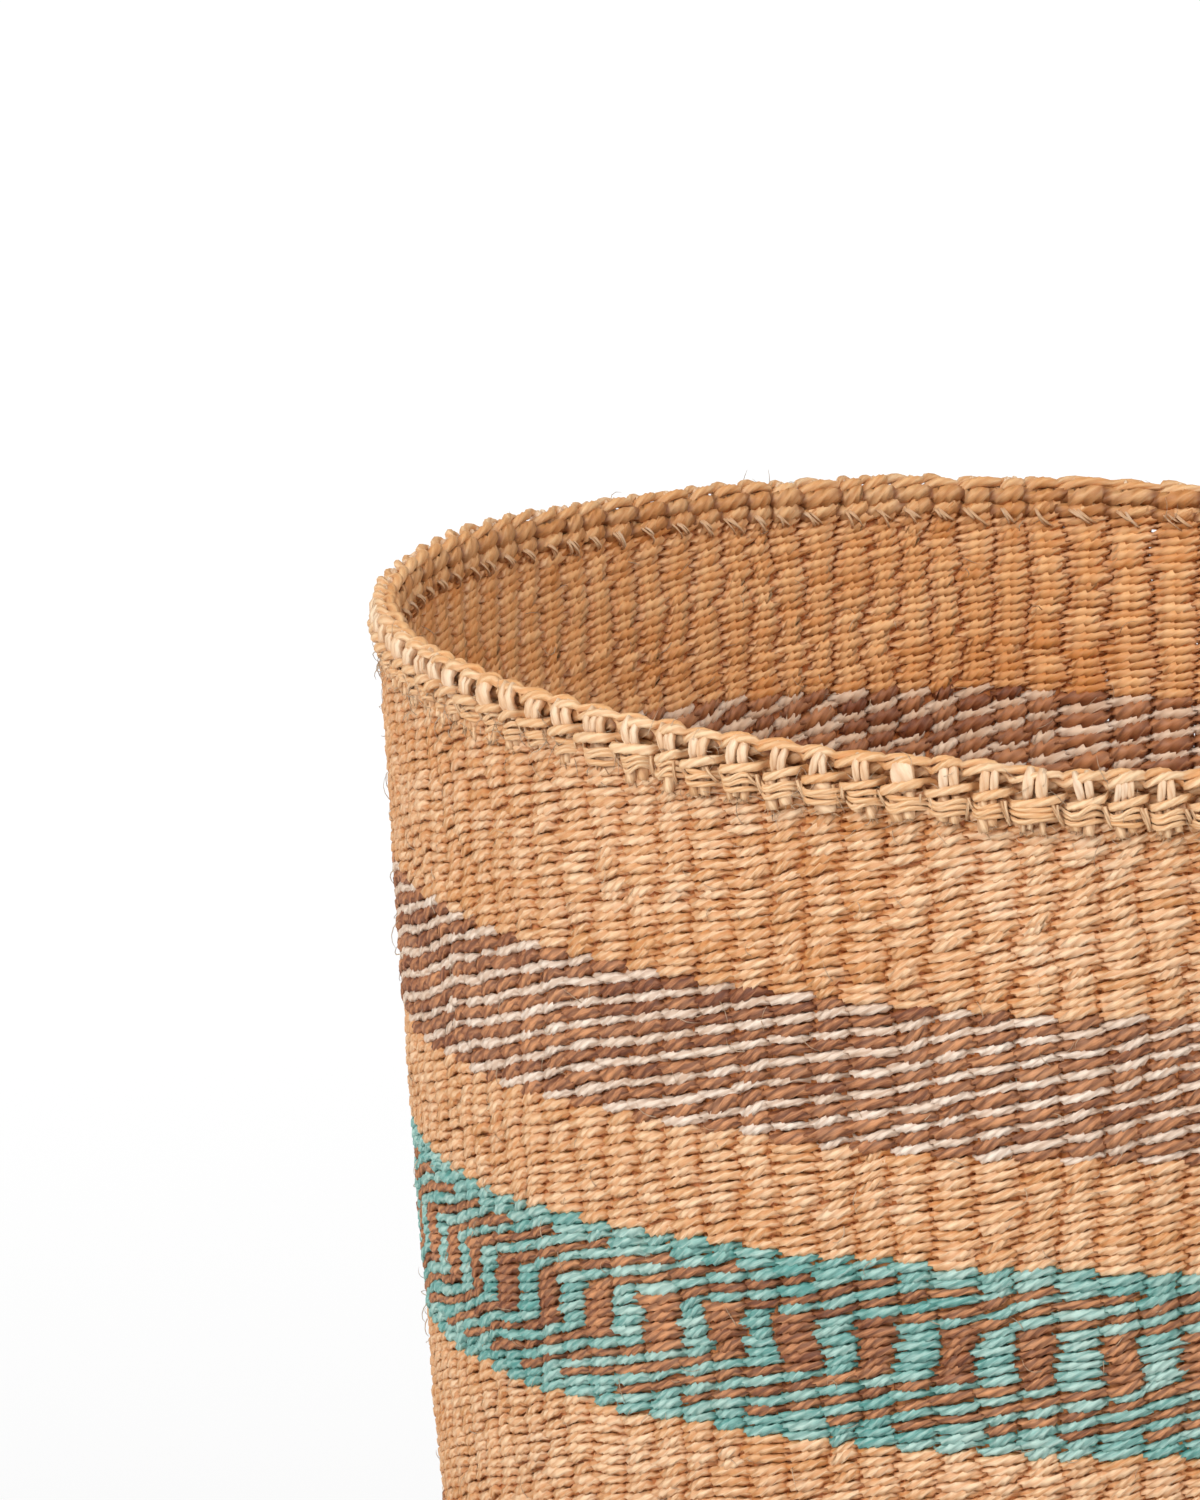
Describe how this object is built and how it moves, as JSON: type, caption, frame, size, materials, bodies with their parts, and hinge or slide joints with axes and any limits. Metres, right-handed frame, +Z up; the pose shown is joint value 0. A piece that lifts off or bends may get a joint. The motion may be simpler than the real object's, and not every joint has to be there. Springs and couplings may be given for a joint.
{
  "type": "sisal basket",
  "caption": "Tall round open basket, hand-twined in natural sisal with striped brown, cream and teal bands and a corded rim.",
  "frame": {"origin": "middle of the underside of the base, on the surface the basket stands on", "axes": "+Z up along the basket's axis; the basket is round, so +X is any direction"},
  "size_m": [0.3018, 0.3018, 0.28],
  "materials": {
    "natural_cord": "matt twisted sisal cord, undyed tan",
    "brown_cord": "matt twisted sisal cord, brown twined with cream",
    "teal_cord": "matt twisted sisal cord, teal twined with brown",
    "warp_cord": "matt pale sisal warp cord, cut ends a little frayed"
  },
  "bodies": {
    "root": {"base_start": "natural_cord", "base_inner_rounds": "natural_cord", "base_middle_rounds": "natural_cord", "base_outer_rounds": "natural_cord", "base_turn": "natural_cord", "lower_natural_weft": "natural_cord", "lower_stripe_weft": "brown_cord", "natural_weft_below_teal": "natural_cord", "teal_lower_edge_weft": "teal_cord", "lower_stair_weft": "teal_cord", "block_weft": "teal_cord", "upper_stair_weft": "teal_cord", "teal_upper_edge_weft": "teal_cord", "natural_weft_above_teal": "natural_cord", "upper_stripe_weft": "brown_cord", "upper_natural_weft": "natural_cord", "folded_warp_ends": "warp_cord", "rim_lower_cord": "natural_cord", "rim_warp_posts": "warp_cord", "rim_top_cord": "natural_cord"}
  },
  "joints": []
}
